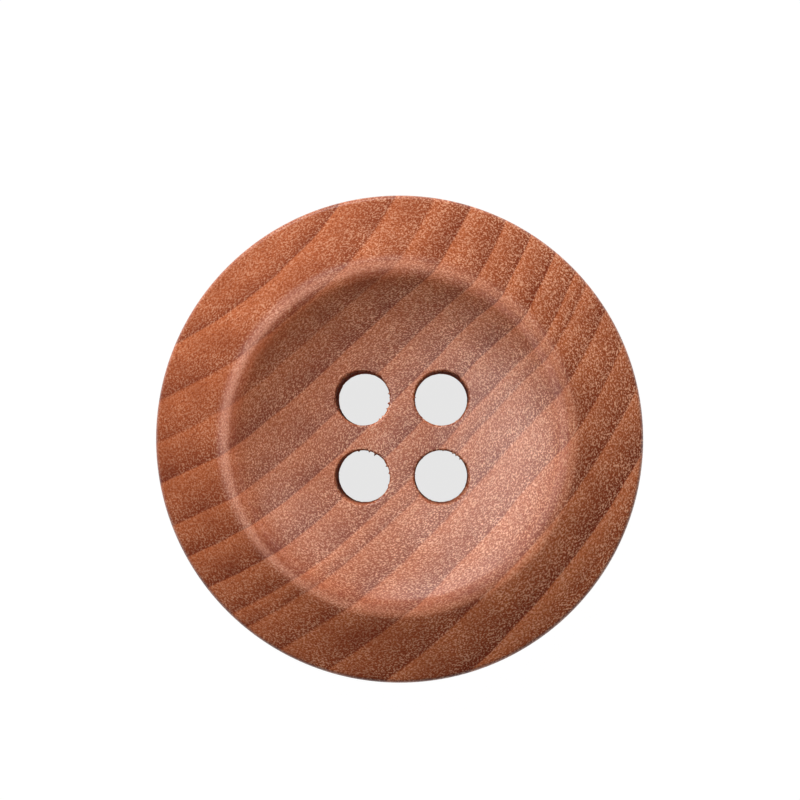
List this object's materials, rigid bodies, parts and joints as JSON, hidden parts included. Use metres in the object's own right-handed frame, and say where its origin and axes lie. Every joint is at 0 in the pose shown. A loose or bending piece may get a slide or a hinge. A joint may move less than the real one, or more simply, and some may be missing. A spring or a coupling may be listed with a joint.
{
  "type": "sew-on button",
  "caption": "Turned wooden sew-on button with a raised lip round a shallow dish, a sloping rim and round holes for thread.",
  "frame": {"origin": "the middle of the flat back, where the button rests on the cloth", "axes": "+Z out of the front face along the turning axis; +X and +Y along the sides of the square of sewing holes"},
  "size_m": [0.0254, 0.0254, 0.0044],
  "materials": {
    "wood": "reddish-brown close-grained wood, sanded and lightly waxed, semi-matt"
  },
  "bodies": {
    "root": {"button_disc": "wood"}
  },
  "joints": []
}
